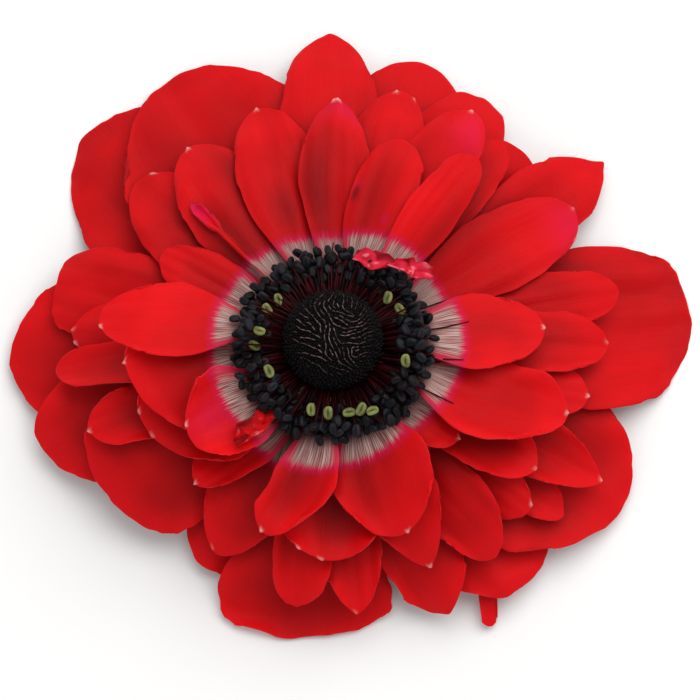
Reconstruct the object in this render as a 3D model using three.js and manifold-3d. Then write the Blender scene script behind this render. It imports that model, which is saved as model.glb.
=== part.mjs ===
// A semi-double poppy anemone bloom, lying face up on the tips of three of its outer petals.
// Millimetres and degrees, +Z up. Looked down on, +X is to the right and +Y is away.
//
// The petals stand in three whorls round a small drum, the receptacle. Each petal is a thin blade whose middle
// surface is a formula in u, from its root to its tip, and v, from its right edge to its left. The petals are
// laid from the lowest up: a height map of those already laid lifts each new one clear, as it would rest on
// them. The stamens and the small curled petal on them are laid on the same map.

import * as THREE from "three";
import { mergeVertices } from "three/addons/utils/BufferGeometryUtils.js";
import Module from "manifold-3d";

// Blades and how they lie
const BLADE = 0.6; // thickness, square to the face
const LAY_GAP = 0.15; // clear height between a petal and the next above it
const SEAT_GAP = 0.3; // between a piece and what carries it
const ALONG_SLOPE = 0.5; // how steeply a lift dies away along a petal
const ACROSS_SLOPE = 0.75; // and across it
const STEEPEST = 0.6; // the least upward facing that a blade's thickness is reckoned with

// Receptacle: a short cut stub of stem, the drum that the petals stand on, and a core that carries the dome
const STUB_RADIUS = 2.2;
const STUB_BOTTOM = 1;
const STUB_BEVEL = 0.2;
const FLARE_BOTTOM = 3.4; // where the stub starts to widen into the drum
const DRUM_RADIUS = 6;
const DRUM_BOTTOM = 7;
const DRUM_TOP = 15.4;
const CORE_RADIUS = 4;
const CORE_TOP = 17.4;
const RECEPTACLE_SIDES = 28;

// Pistil dome: a low dome of packed styles
const DOME_RADIUS = 6.4;
const DOME_HEIGHT = 5.8;
const DOME_SIDES = 40;
const DOME_RINGS = 12;
const DOME_KNOB = 0.16;
const DOME_UNDERCUT = 0.5; // how far its foot stands in from its widest ring
const DOME_FOOT = 0.7; // height of the widest ring above the foot
const DOME_FULLNESS = 0.8; // below 1 the sides are fuller than a ball's

// Stamens: filaments rise out of a collar round the core, in rings, each with its anther
const COLLAR_INNER = CORE_RADIUS + SEAT_GAP;
const COLLAR_OUTER = 5.9;
const COLLAR_BOTTOM = DRUM_TOP + SEAT_GAP;
const COLLAR_TOP = CORE_TOP - 0.1;
const COLLAR_BEVEL = 0.3;
const ANTHER_RINGS = [
  { radius: 9.1, count: 19, rise: 2.4 },
  { radius: 10.2, count: 21, rise: 1.8 },
  { radius: 11.2, count: 23, rise: 1.2 },
  { radius: 12.0, count: 18, rise: 0.6 },
];
const ANTHER_LENGTH = 1.9;
const ANTHER_WIDTH = 1.2;
const FILAMENT_RADIUS = 0.24;
const FILAMENT_CLEAR = 0.65; // height of a filament's line above the petals that it crosses
const FILAMENT_STEPS = 3;
const ANTHER_SCATTER = 0.5; // of its place along the ring and of its radius, and its tilt in radians
const STAMEN_FLOOR = 14.4; // no anther hangs lower than this
const STAMEN_SEED = 12;
const SMALLEST_EDGE = 0.01; // shorter edges of the fused stamens are closed up

// Petal outline and surface
const CLAW_SPREAD = 0.8; // least gap between two roots, as a share of an even spacing
const TIP_TAPER = 2.2;
const TIP_BEND = 0.95; // how far round a circle the rounded tip runs
const CUP_FROM = 0.3;
const CUP_OVER = 0.5;
const WAVE_FROM = 0.55;
const WAVE_OVER = 0.4;
const WAVE_ACROSS = 3.3; // radians of wave from the midline to an edge
const WAVE_TURNS = 5; // shifts the wave from one petal to the next
const ROW_PACKING = 1.25; // above 1 the grid's rows stand closer together towards the tip

// Height map
const MAP_HALF = 50;
const MAP_CELL = 0.2;
const MAP_SIDE = Math.round((2 * MAP_HALF) / MAP_CELL) + 1;
const QUAD_STEPS = 20;
const NOTHING = -100;

// The form that a whorl's petals share. base and tip are the heights of the two ends, arch and cup bow the
// blade along and across, and wave ripples its outer part. claw is the width at the root, slim holds the lower
// part narrow, widest is where along the petal it is broadest, and end is the share of the width left at the
// tip. round, point and skew shape the tip, and bend sways the whole petal to its left.
const OUTER = {
  whorl: "outer", base: 7.8, tip: 1.4, arch: 1.6, cup: 0, wave: 0.5, claw: 1.3, slim: 2.3,
  widest: 0.7, end: 0.86, round: 0.8, point: 0, skew: 0, bend: 0, rows: 7, columns: 6,
};
const MIDDLE = {
  whorl: "middle", base: 9.2, tip: 5.5, arch: 1.6, cup: 0.3, wave: 0.25, claw: 1.2, slim: 1.5,
  widest: 0.66, end: 0.8, round: 0.8, point: 0.1, skew: 0, bend: 0, rows: 6, columns: 4,
};
const INNER = {
  whorl: "inner", base: 11, tip: 10.5, arch: 0.6, cup: 0.5, wave: 0.2, claw: 1.3, slim: 1.3,
  widest: 0.62, end: 0.8, round: 0.8, point: 0.05, skew: 0, bend: 0, rows: 6, columns: 4,
};
const COLOUR = { outer: 0xc0151d, middle: 0xd41a22, inner: 0xe0242b };
const RESTING = { tip: -2, wave: 0 }; // its end lies flat on the surface

// Each petal in the order in which it is laid: whorl, azimuth and reach of the tip, width, and its own form.
const PETALS = [
  [OUTER, 301.3, 37.1, 2.4, { tip: 1.2, columns: 2, claw: 1.2, widest: 0.9, wave: 0, bend: 4 }],
  [OUTER, 177.5, 40, 21, { round: 0.7 }],
  [OUTER, 311, 36.2, 19],
  [OUTER, 239, 29.8, 13],
  [OUTER, 73, 39.9, 18.5],
  [OUTER, 134.3, 43, 22.5, { ...RESTING, round: 0.7 }],
  [OUTER, 195, 37.4, 16],
  [OUTER, 333, 39.6, 23.3, { round: 0.65, skew: 0.05 }],
  [OUTER, 117.8, 41.8, 26.5, { round: 0.7 }],
  [OUTER, 7.5, 44.6, 21, { ...RESTING, round: 0.42, skew: 0.14 }],
  [OUTER, 263.5, 33.8, 21.3, { ...RESTING, end: 0.97, round: 0.3, widest: 0.9, skew: -0.12 }],
  [OUTER, 164.7, 35.7, 12, { round: 0.4 }],
  [OUTER, 211.5, 32.4, 17.5, { round: 0.35, end: 0.9, skew: -0.12 }],
  [OUTER, 294.5, 34.5, 9.5, { point: 0.5, round: 0.5 }],
  [OUTER, 61, 38.6, 11.5],
  [OUTER, 90.7, 41.8, 11.6, { point: 0.2, round: 0.65 }],
  [OUTER, 48.5, 35.6, 11],
  [OUTER, 37.6, 42.3, 9.6, { point: 0.6, round: 0.6 }],

  [MIDDLE, 14, 36, 7.5],
  [MIDDLE, 351, 31.5, 8.5],
  [MIDDLE, 325.5, 34, 6],
  [MIDDLE, 275.5, 31.5, 7.5, { point: 0.3 }],
  [MIDDLE, 239.5, 27.8, 10.5],
  [MIDDLE, 198, 31, 7.5],
  [MIDDLE, 174, 32, 9],
  [MIDDLE, 76, 35, 10],
  [MIDDLE, 52, 34, 6],
  [MIDDLE, 3, 33.7, 8],
  [MIDDLE, 335, 36, 8, { point: 0.5 }],
  [MIDDLE, 320.5, 30.5, 7.5],
  [MIDDLE, 309, 31.5, 8.5],
  [MIDDLE, 294.5, 28.5, 9.5, { point: 0.5 }],
  [MIDDLE, 261.7, 30.8, 7.5, { round: 0.4 }],
  [MIDDLE, 183, 34, 6],
  [MIDDLE, 137.5, 33.3, 12],
  [MIDDLE, 124, 32, 12],
  [MIDDLE, 106.5, 32.9, 10.5],
  [MIDDLE, 61, 35.3, 9],
  [MIDDLE, 89.3, 32.4, 9, { point: 0.4 }],
  [MIDDLE, 32.2, 35.4, 10],

  [INNER, 329, 28.3, 8.5],
  [INNER, 321.5, 19, 7],
  [INNER, 269, 25.6, 13, { cup: 0.9, round: 0.35 }],
  [INNER, 223.5, 23.1, 7],
  [INNER, 150, 24.4, 7],
  [INNER, 72, 28, 8.5],
  [INNER, 343.7, 29.5, 10.5, { cup: 0.8, bend: -2, slim: 1.8 }],
  [INNER, 290, 24.3, 12, { cup: 1, round: 0.65 }],
  [INNER, 251.5, 24.2, 7.5, { cup: 1.3, bend: 1.8 }],
  [INNER, 208.5, 23.8, 14, { cup: 1, skew: -0.3, round: 0.35 }],
  [INNER, 5, 25.7, 10, { cup: 0.9 }],
  [INNER, 197.5, 23.9, 16, { cup: 1.2, slim: 1.8, skew: -0.32, round: 0.35 }],
  [INNER, 213.5, 20.6, 10.5, { cup: 0.9, skew: 0.12, round: 0.5 }],
  [INNER, 174.5, 28, 9.6, { cup: 0.9, slim: 2 }],
  [INNER, 133, 25.5, 3, { cup: 0.9 }],
  [INNER, 54, 29.5, 6],
];

// The small curled petal that lies across the anthers
const CURL_ROOT = { x: 2.6, y: 10.6 };
const CURL = {
  ...INNER, azimuth: 35, reach: 14.9, width: 2.6, claw: 1.2, slim: 1, base: 17, tip: 17.5, arch: 0.4,
  cup: 0.7, wave: 0.3, rows: 5, columns: 2, point: 0.4,
};

const TURN = 2 * Math.PI;

function radians(degrees) {
  return (degrees * Math.PI) / 180;
}

function clamp(value, low, high) {
  return Math.min(high, Math.max(low, value));
}

function smooth(value) {
  const t = clamp(value, 0, 1);
  return t * t * (3 - 2 * t);
}

// Repeatable random numbers from 0 to 1.
function seeded(seed) {
  let state = seed >>> 0;
  return () => {
    state = (Math.imul(state, 1664525) + 1013904223) >>> 0;
    return state / 4294967296;
  };
}

// ---------------------------------------------------------------- petal surface

// Where each petal of a whorl leaves the drum: near its own azimuth, but spread apart so that the claws fit.
function spreadRoots(petals) {
  const least = (CLAW_SPREAD * TURN) / petals.length;
  const roots = petals.map((petal) => radians(petal.azimuth) % TURN);
  const order = roots.map((_, k) => k).sort((a, b) => roots[a] - roots[b]);
  for (let pass = 0; pass < 400; pass++) {
    order.forEach((a, k) => {
      const b = order[(k + 1) % order.length];
      let gap = (roots[b] - roots[a] + 4 * TURN) % TURN;
      if (gap > Math.PI) gap -= TURN;
      if (gap >= least) return;
      const push = 0.25 * (least - gap);
      roots[a] -= push;
      roots[b] += push;
    });
  }
  const radius = DRUM_RADIUS + SEAT_GAP;
  petals.forEach((petal, k) => {
    petal.root = { x: radius * Math.cos(roots[k]), y: radius * Math.sin(roots[k]), azimuth: roots[k] };
  });
}

// How far a unit circle has dropped at x from its top.
function circleDrop(x) {
  return 1 - Math.sqrt(1 - x * x);
}

// The share of the full width at u.
function widthShare(petal, u) {
  const claw = petal.claw / petal.width;
  const rise = Math.sin((Math.min(1, u / petal.widest) * Math.PI) / 2) ** petal.slim;
  const fall = clamp((u - petal.widest) / (1 - petal.widest), 0, 1) ** TIP_TAPER;
  return (claw + (1 - claw) * rise) * (1 - (1 - petal.end) * fall);
}

// A point of the petal's middle surface, before it is laid on the others.
function surfacePoint(petal, u, v) {
  const azimuth = radians(petal.azimuth);
  const dx = petal.reach * Math.cos(azimuth) - petal.root.x;
  const dy = petal.reach * Math.sin(azimuth) - petal.root.y;
  const length = Math.hypot(dx, dy);
  let lean = Math.atan2(dy, dx) - petal.root.azimuth;
  lean -= TURN * Math.round(lean / TURN);

  const tipCurve = (petal.round * circleDrop(TIP_BEND * v)) / circleDrop(TIP_BEND);
  const setBack = tipCurve + petal.point * Math.abs(v) - petal.skew * v;
  const along = length * u - 0.5 * petal.width * setBack * u ** 3;
  const sway = 4 * petal.bend * u * (1 - u) - 0.5 * length * lean * u * (1 - u) ** 2;
  const side = 0.5 * petal.width * widthShare(petal, u) * v + sway;

  const w = along / length;
  const rise = petal.base + (petal.tip - petal.base) * w + 4 * petal.arch * w * (1 - w);
  const cup = petal.cup * v * v * smooth((u - CUP_FROM) / CUP_OVER);
  const ripple = Math.sin(WAVE_ACROSS * v + WAVE_TURNS * azimuth);
  const wave = petal.wave * ripple * smooth((u - WAVE_FROM) / WAVE_OVER);
  return {
    x: petal.root.x + (along * dx - side * dy) / length,
    y: petal.root.y + (along * dy + side * dx) / length,
    z: rise + cup + wave,
  };
}

function petalGrid(petal) {
  const grid = [];
  for (let i = 0; i <= petal.rows; i++) {
    const u = 1 - (1 - i / petal.rows) ** ROW_PACKING;
    const row = [];
    for (let j = 0; j <= petal.columns; j++) row.push(surfacePoint(petal, u, (2 * j) / petal.columns - 1));
    grid.push(row);
  }
  return grid;
}

// Half of the blade's height above and below the middle surface at each grid point, more where it is steep.
function setHalfHeights(grid) {
  const rows = grid.length;
  const columns = grid[0].length;
  const at = (i, j) => new THREE.Vector3(grid[i][j].x, grid[i][j].y, grid[i][j].z);
  for (let i = 0; i < rows; i++) {
    for (let j = 0; j < columns; j++) {
      const along = at(Math.min(i + 1, rows - 1), j).sub(at(Math.max(i - 1, 0), j));
      const across = at(i, Math.min(j + 1, columns - 1)).sub(at(i, Math.max(j - 1, 0)));
      const facing = Math.abs(along.cross(across).normalize().z);
      grid[i][j].half = (0.5 * BLADE) / Math.max(facing, STEEPEST);
    }
  }
}

// ---------------------------------------------------------------- laying petals on a height map

const heightMap = new Float64Array(MAP_SIDE * MAP_SIDE).fill(NOTHING);

function mapIndex(x, y) {
  const i = clamp(Math.round((x + MAP_HALF) / MAP_CELL), 1, MAP_SIDE - 2);
  const j = clamp(Math.round((y + MAP_HALF) / MAP_CELL), 1, MAP_SIDE - 2);
  return i * MAP_SIDE + j;
}

// The highest of a cell and its eight neighbours.
function heightUnder(x, y) {
  const centre = mapIndex(x, y);
  let highest = NOTHING;
  for (const a of [-MAP_SIDE, 0, MAP_SIDE]) {
    for (const b of [-1, 0, 1]) highest = Math.max(highest, heightMap[centre + a + b]);
  }
  return highest;
}

// Weights of a quad's four corners (00, 10, 01, 11) over its two flat triangles. They meet on the 10-01
// diagonal.
function facetWeights() {
  const weights = [];
  for (let a = 0; a <= QUAD_STEPS; a++) {
    for (let b = 0; b <= QUAD_STEPS; b++) {
      const s = a / QUAD_STEPS;
      const t = b / QUAD_STEPS;
      weights.push(s + t <= 1 ? [1 - s - t, s, t, 0] : [0, 1 - t, 1 - s, s + t - 1]);
    }
  }
  return weights;
}

const WEIGHTS = facetWeights();
const WEIGHT_NORMS = WEIGHTS.map((w) => w.reduce((sum, x) => sum + x * x, 0));

// Every sample of a grid's facets, with its place and what is read from the four corners.
function eachSample(grid, visit) {
  for (let i = 0; i + 1 < grid.length; i++) {
    for (let j = 0; j + 1 < grid[0].length; j++) {
      const corners = [grid[i][j], grid[i + 1][j], grid[i][j + 1], grid[i + 1][j + 1]];
      WEIGHTS.forEach((w, k) => visit(corners, w, k));
    }
  }
}

function blend(corners, w, key) {
  return w[0] * corners[0][key] + w[1] * corners[1][key] + w[2] * corners[2][key] + w[3] * corners[3][key];
}

// Raises the grid's lifts until every sample has the height that it needs.
function settle(points, samples) {
  for (let sweep = 0; sweep < 60; sweep++) {
    let worst = 0;
    for (const point of points) point.add = 0;
    for (const { corners, w, norm, need } of samples) {
      const short = need - blend(corners, w, "lift");
      if (short <= 0) continue;
      worst = Math.max(worst, short);
      corners.forEach((corner, c) => {
        corner.add = Math.max(corner.add, (short * w[c]) / norm);
      });
    }
    if (worst < 1e-3) return;
    for (const point of points) point.lift += point.add;
  }
}

// Lets each lift die away no faster than the two slopes, so that the blade stays a smooth sheet.
function stiffen(points, azimuth) {
  const c = Math.cos(azimuth);
  const s = Math.sin(azimuth);
  const before = points.map((point) => point.lift);
  for (const point of points) {
    points.forEach((other, k) => {
      const dx = point.x - other.x;
      const dy = point.y - other.y;
      const fade = Math.hypot(ALONG_SLOPE * (dx * c + dy * s), ACROSS_SLOPE * (dy * c - dx * s));
      point.lift = Math.max(point.lift, before[k] - fade);
    });
  }
}

// Moves each lift half way to the mean of its four neighbours.
function relax(grid) {
  const rows = grid.length;
  const columns = grid[0].length;
  const before = grid.map((row) => row.map((point) => point.lift));
  for (let i = 0; i < rows; i++) {
    for (let j = 0; j < columns; j++) {
      const up = before[Math.max(i - 1, 0)][j];
      const down = before[Math.min(i + 1, rows - 1)][j];
      const left = before[i][Math.max(j - 1, 0)];
      const right = before[i][Math.min(j + 1, columns - 1)];
      grid[i][j].lift = 0.5 * before[i][j] + 0.125 * (up + down + left + right);
    }
  }
}

function stamp(x, y, top) {
  const index = mapIndex(x, y);
  heightMap[index] = Math.max(heightMap[index], top);
}

// Lifts a petal's grid clear of all that lies under it, and adds it to the map.
function lay(petal) {
  const grid = petalGrid(petal);
  setHalfHeights(grid);
  const points = grid.flat();
  for (const point of points) point.lift = 0;
  const samples = [];
  eachSample(grid, (corners, w, k) => {
    const half = blend(corners, w, "half");
    const under = heightUnder(blend(corners, w, "x"), blend(corners, w, "y"));
    const need = under + half + (LAY_GAP * half) / (0.5 * BLADE) - blend(corners, w, "z");
    if (need > 0) samples.push({ corners, w, need, norm: WEIGHT_NORMS[k] });
  });
  settle(points, samples);
  for (let pass = 0; pass < 2; pass++) {
    stiffen(points, radians(petal.azimuth));
    relax(grid);
    settle(points, samples);
  }
  for (const point of points) point.z += point.lift;
  setHalfHeights(grid);
  for (const point of points) point.z = Math.max(point.z, point.half);
  eachSample(grid, (corners, w) => {
    const top = blend(corners, w, "z") + blend(corners, w, "half");
    stamp(blend(corners, w, "x"), blend(corners, w, "y"), top);
  });
  return grid;
}

// ---------------------------------------------------------------- solids

function geometryOf(vertices, faces) {
  const geometry = new THREE.BufferGeometry();
  geometry.setAttribute("position", new THREE.Float32BufferAttribute(vertices.flat(), 3));
  geometry.setIndex(faces.flat());
  return geometry;
}

// A closed blade: the grid's upper and lower faces, split along the same diagonals, and a wall round its edge.
function bladeGeometry(grid) {
  const rows = grid.length;
  const columns = grid[0].length;
  const count = rows * columns;
  const upper = grid.flat().map((p) => [p.x, p.y, p.z + p.half]);
  const lower = grid.flat().map((p) => [p.x, p.y, p.z - p.half]);
  const at = (i, j) => i * columns + j;
  const faces = [];
  for (let i = 0; i + 1 < rows; i++) {
    for (let j = 0; j + 1 < columns; j++) {
      const [a, b, c, d] = [at(i, j), at(i + 1, j), at(i, j + 1), at(i + 1, j + 1)];
      faces.push([a, b, c], [b, d, c]);
      faces.push([a + count, c + count, b + count], [b + count, c + count, d + count]);
    }
  }
  const edge = [];
  for (let i = 0; i < rows - 1; i++) edge.push(at(i, 0));
  for (let j = 0; j < columns - 1; j++) edge.push(at(rows - 1, j));
  for (let i = rows - 1; i > 0; i--) edge.push(at(i, columns - 1));
  for (let j = columns - 1; j > 0; j--) edge.push(at(0, j));
  edge.forEach((p, k) => {
    const q = edge[(k + 1) % edge.length];
    faces.push([p + count, q + count, q], [p + count, q, p]);
  });
  return geometryOf([...upper, ...lower], faces);
}

function receptacleGeometry() {
  const profile = [
    [0, STUB_BOTTOM],
    [STUB_RADIUS - STUB_BEVEL, STUB_BOTTOM],
    [STUB_RADIUS, STUB_BOTTOM + STUB_BEVEL],
    [STUB_RADIUS, FLARE_BOTTOM],
    [0.8 * STUB_RADIUS + 0.2 * DRUM_RADIUS, 0.5 * (FLARE_BOTTOM + DRUM_BOTTOM)],
    [0.35 * STUB_RADIUS + 0.65 * DRUM_RADIUS, 0.15 * FLARE_BOTTOM + 0.85 * DRUM_BOTTOM],
    [DRUM_RADIUS, DRUM_BOTTOM],
    [DRUM_RADIUS, DRUM_TOP],
    [CORE_RADIUS, DRUM_TOP],
    [CORE_RADIUS, CORE_TOP],
    [0, CORE_TOP],
  ].map(([radius, z]) => new THREE.Vector2(radius, z));
  return new THREE.LatheGeometry(profile, RECEPTACLE_SIDES).rotateX(Math.PI / 2);
}

// A dome covered in rows of low knobs, each row set half a knob round from the last.
function domeGeometry() {
  const bottom = CORE_TOP + SEAT_GAP;
  const vertices = [];
  const faces = [];
  for (let i = 0; i < DOME_RINGS; i++) {
    const tilt = (i / DOME_RINGS) * (Math.PI / 2);
    const radius = DOME_RADIUS * Math.cos(tilt) ** DOME_FULLNESS;
    const z = bottom + DOME_FOOT + (DOME_HEIGHT - DOME_FOOT) * Math.sin(tilt);
    for (let j = 0; j < DOME_SIDES; j++) {
      const angle = (j / DOME_SIDES) * TURN;
      const knob = DOME_KNOB * ((i + j) % 2 === 0 ? 1 : -1) * (i > 0 ? 1 : 0);
      const r = radius + knob * Math.cos(tilt);
      vertices.push([r * Math.cos(angle), r * Math.sin(angle), z + knob * Math.sin(tilt)]);
    }
  }
  const top = vertices.length;
  vertices.push([0, 0, bottom + DOME_HEIGHT]);
  const base = vertices.length;
  for (let j = 0; j < DOME_SIDES; j++) {
    const angle = (j / DOME_SIDES) * TURN;
    const radius = DOME_RADIUS - DOME_UNDERCUT;
    vertices.push([radius * Math.cos(angle), radius * Math.sin(angle), bottom]);
  }
  const foot = vertices.length;
  vertices.push([0, 0, bottom]);
  for (let j = 0; j < DOME_SIDES; j++) {
    const next = (j + 1) % DOME_SIDES;
    for (let i = 0; i + 1 < DOME_RINGS; i++) {
      const [a, b] = [i * DOME_SIDES + j, i * DOME_SIDES + next];
      const [c, d] = [a + DOME_SIDES, b + DOME_SIDES];
      if ((i + j) % 2 === 0) faces.push([a, b, c], [b, d, c]);
      else faces.push([a, b, d], [a, d, c]);
    }
    const last = (DOME_RINGS - 1) * DOME_SIDES;
    faces.push([last + j, last + next, top]);
    faces.push([base + j, base + next, next], [base + j, next, j]);
    faces.push([foot, base + next, base + j]);
  }
  return geometryOf(vertices, faces);
}

// ---------------------------------------------------------------- stamens

const wasm = await Module();
wasm.setup();

function toSolid(geometry) {
  const bare = geometry.clone();
  bare.deleteAttribute("normal");
  bare.deleteAttribute("uv");
  const merged = mergeVertices(bare, 1e-4);
  return new wasm.Manifold(
    new wasm.Mesh({
      numProp: 3,
      vertProperties: merged.attributes.position.array,
      triVerts: new Uint32Array(merged.index.array),
    }),
  );
}

function fromSolid(solid) {
  const mesh = solid.getMesh();
  const geometry = new THREE.BufferGeometry();
  geometry.setAttribute("position", new THREE.BufferAttribute(mesh.vertProperties, 3));
  geometry.setIndex(new THREE.BufferAttribute(mesh.triVerts, 1));
  return geometry;
}

function collarGeometry() {
  const profile = [
    [COLLAR_INNER, COLLAR_BOTTOM],
    [COLLAR_OUTER, COLLAR_BOTTOM],
    [COLLAR_OUTER, COLLAR_TOP - COLLAR_BEVEL],
    [COLLAR_OUTER - COLLAR_BEVEL, COLLAR_TOP],
    [COLLAR_INNER, COLLAR_TOP],
    [COLLAR_INNER, COLLAR_BOTTOM],
  ].map(([radius, z]) => new THREE.Vector2(radius, z));
  return new THREE.LatheGeometry(profile, RECEPTACLE_SIDES).rotateX(Math.PI / 2);
}

// A three-sided needle through the given points, closed at both ends.
function filamentGeometry(path) {
  const vertices = [];
  const faces = [];
  const sides = 3;
  path.forEach((point, k) => {
    const before = path[Math.max(k - 1, 0)];
    const after = path[Math.min(k + 1, path.length - 1)];
    const way = new THREE.Vector3().subVectors(after, before).normalize();
    const across = new THREE.Vector3(-way.y, way.x, 0).normalize();
    const up = new THREE.Vector3().crossVectors(way, across);
    for (let s = 0; s < sides; s++) {
      const angle = (s / sides) * TURN + Math.PI / 2;
      const ring = across.clone().multiplyScalar(FILAMENT_RADIUS * Math.cos(angle));
      ring.addScaledVector(up, FILAMENT_RADIUS * Math.sin(angle));
      vertices.push(point.clone().add(ring).toArray());
    }
  });
  for (let k = 0; k + 1 < path.length; k++) {
    for (let s = 0; s < sides; s++) {
      const [a, b] = [k * sides + s, k * sides + ((s + 1) % sides)];
      faces.push([a, b, b + sides], [a, b + sides, a + sides]);
    }
  }
  const last = (path.length - 1) * sides;
  faces.push([0, 2, 1], [last, last + 1, last + 2]);
  return geometryOf(vertices, faces);
}

// The highest thing within reach of an anther at x, y.
function highestNear(x, y, reach) {
  let highest = NOTHING;
  const step = reach / 3;
  for (let a = -3; a <= 3; a++) {
    for (let b = -3; b <= 3; b++) highest = Math.max(highest, heightUnder(x + a * step, y + b * step));
  }
  return highest;
}

// Where each stamen stands: its anther's place and turn, by ring, with a seeded scatter.
function stamenPlaces() {
  const random = seeded(STAMEN_SEED);
  const places = [];
  const scatter = () => ANTHER_SCATTER * (random() - 0.5);
  for (const ring of ANTHER_RINGS) {
    for (let k = 0; k < ring.count; k++) {
      const angle = ((k + scatter()) / ring.count) * TURN + ring.radius;
      const radius = ring.radius + scatter();
      const x = radius * Math.cos(angle);
      const y = radius * Math.sin(angle);
      const clear = highestNear(x, y, 0.75 * ANTHER_LENGTH) + 0.5 * ANTHER_WIDTH + LAY_GAP;
      const z = Math.max(STAMEN_FLOOR, clear) + ring.rise;
      places.push({ angle, radius, x, y, z, turn: TURN * random(), tilt: scatter() });
    }
  }
  return places;
}

function filamentPath(place) {
  const start = 0.5 * (COLLAR_OUTER + COLLAR_INNER) + 0.2;
  const startZ = 0.5 * (COLLAR_BOTTOM + COLLAR_TOP);
  const path = [];
  for (let k = 0; k <= FILAMENT_STEPS; k++) {
    const t = k / FILAMENT_STEPS;
    const radius = start + (place.radius - start) * t;
    const x = radius * Math.cos(place.angle);
    const y = radius * Math.sin(place.angle);
    const level = startZ + (place.z - startZ) * t * t;
    const clear = radius < DRUM_RADIUS ? level : highestNear(x, y, FILAMENT_CLEAR) + FILAMENT_CLEAR;
    path.push(new THREE.Vector3(x, y, Math.max(level, clear)));
  }
  return path;
}

function antherGeometry(place) {
  const anther = new THREE.IcosahedronGeometry(1, 0);
  anther.scale(0.5 * ANTHER_LENGTH, 0.5 * ANTHER_WIDTH, 0.5 * ANTHER_WIDTH);
  anther.rotateY(place.tilt);
  anther.rotateZ(place.turn);
  anther.translate(place.x, place.y, place.z);
  return anther;
}

function stamensGeometry() {
  const solids = [toSolid(collarGeometry())];
  for (const place of stamenPlaces()) {
    solids.push(toSolid(filamentGeometry(filamentPath(place))));
    solids.push(toSolid(antherGeometry(place)));
  }
  return fromSolid(wasm.Manifold.union(solids).simplify(SMALLEST_EDGE));
}

// Adds a finished geometry's vertices and edges to the height map.
function stampGeometry(geometry) {
  const position = geometry.attributes.position;
  const index = geometry.index;
  const corners = [new THREE.Vector3(), new THREE.Vector3(), new THREE.Vector3()];
  for (let k = 0; k < index.count; k += 3) {
    corners.forEach((corner, c) => corner.fromBufferAttribute(position, index.getX(k + c)));
    for (const w of WEIGHTS) {
      if (w[3] > 0) continue;
      const point = new THREE.Vector3();
      corners.forEach((corner, c) => point.addScaledVector(corner, w[c]));
      stamp(point.x, point.y, point.z);
    }
  }
}

// ---------------------------------------------------------------- assembly

function addMesh(group, name, geometry, colour, roughness) {
  const material = new THREE.MeshStandardMaterial({ color: colour, roughness, metalness: 0 });
  const mesh = new THREE.Mesh(geometry, material);
  mesh.name = name;
  group.add(mesh);
}

const bloom = new THREE.Group();
const petals = PETALS.map(([form, azimuth, reach, width, own]) => {
  return { ...form, azimuth, reach, width, ...own };
});
for (const { whorl } of [OUTER, MIDDLE, INNER]) spreadRoots(petals.filter((petal) => petal.whorl === whorl));

const laid = { outer: 0, middle: 0, inner: 0 };
for (const petal of petals) {
  laid[petal.whorl] += 1;
  const name = petal.whorl + "_petal_" + String(laid[petal.whorl]).padStart(2, "0");
  addMesh(bloom, name, bladeGeometry(lay(petal)), COLOUR[petal.whorl], 0.55);
}

const stamens = stamensGeometry();
stampGeometry(stamens);
const curl = { ...CURL, root: { ...CURL_ROOT, azimuth: 0 } };
addMesh(bloom, "receptacle", receptacleGeometry(), 0x6f8440, 0.7);
addMesh(bloom, "stamens", stamens, 0x17171f, 0.6);
addMesh(bloom, "pistil_dome", domeGeometry(), 0x121012, 0.75);
addMesh(bloom, "curled_petal", bladeGeometry(lay(curl)), 0xd8304a, 0.5);

// The origin is the middle of the bloom's box, on the surface that it lies on.
const box = new THREE.Box3().setFromObject(bloom);
bloom.position.set(-0.5 * (box.min.x + box.max.x), -0.5 * (box.min.y + box.max.y), -box.min.z);
bloom.updateMatrixWorld(true);

export default bloom;
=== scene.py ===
"""Looks of a semi-double red anemone bloom that lies face up on its outer petals.

Every petal is a fine closed sheet laid in its CAD blade, with folds, rims and a frilled outline where nothing
covers it. Filaments, anthers, the dome of styles, two crumpled scraps of petal and the receptacle's skin are
built here too. Until a mesh is made, lengths are in millimetres, and x and y run from the flower's axis.
"""

import math
import random

import bpy
import numpy as np
from mathutils import Euler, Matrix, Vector
from mathutils.bvhtree import BVHTree


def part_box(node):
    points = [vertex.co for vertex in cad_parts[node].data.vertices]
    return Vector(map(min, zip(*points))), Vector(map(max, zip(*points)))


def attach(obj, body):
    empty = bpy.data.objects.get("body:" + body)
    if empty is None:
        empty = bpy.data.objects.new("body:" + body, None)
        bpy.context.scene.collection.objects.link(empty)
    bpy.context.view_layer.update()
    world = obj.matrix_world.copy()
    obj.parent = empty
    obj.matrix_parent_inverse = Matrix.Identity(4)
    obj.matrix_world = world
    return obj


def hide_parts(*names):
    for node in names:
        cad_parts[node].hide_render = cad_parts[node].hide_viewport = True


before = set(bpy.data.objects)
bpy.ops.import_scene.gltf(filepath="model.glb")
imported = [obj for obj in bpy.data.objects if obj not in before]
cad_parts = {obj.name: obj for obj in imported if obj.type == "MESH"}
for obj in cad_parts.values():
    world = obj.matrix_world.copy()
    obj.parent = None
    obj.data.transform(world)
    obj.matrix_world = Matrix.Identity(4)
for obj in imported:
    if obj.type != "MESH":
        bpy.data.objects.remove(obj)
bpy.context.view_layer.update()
scene = bpy.context.scene

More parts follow.
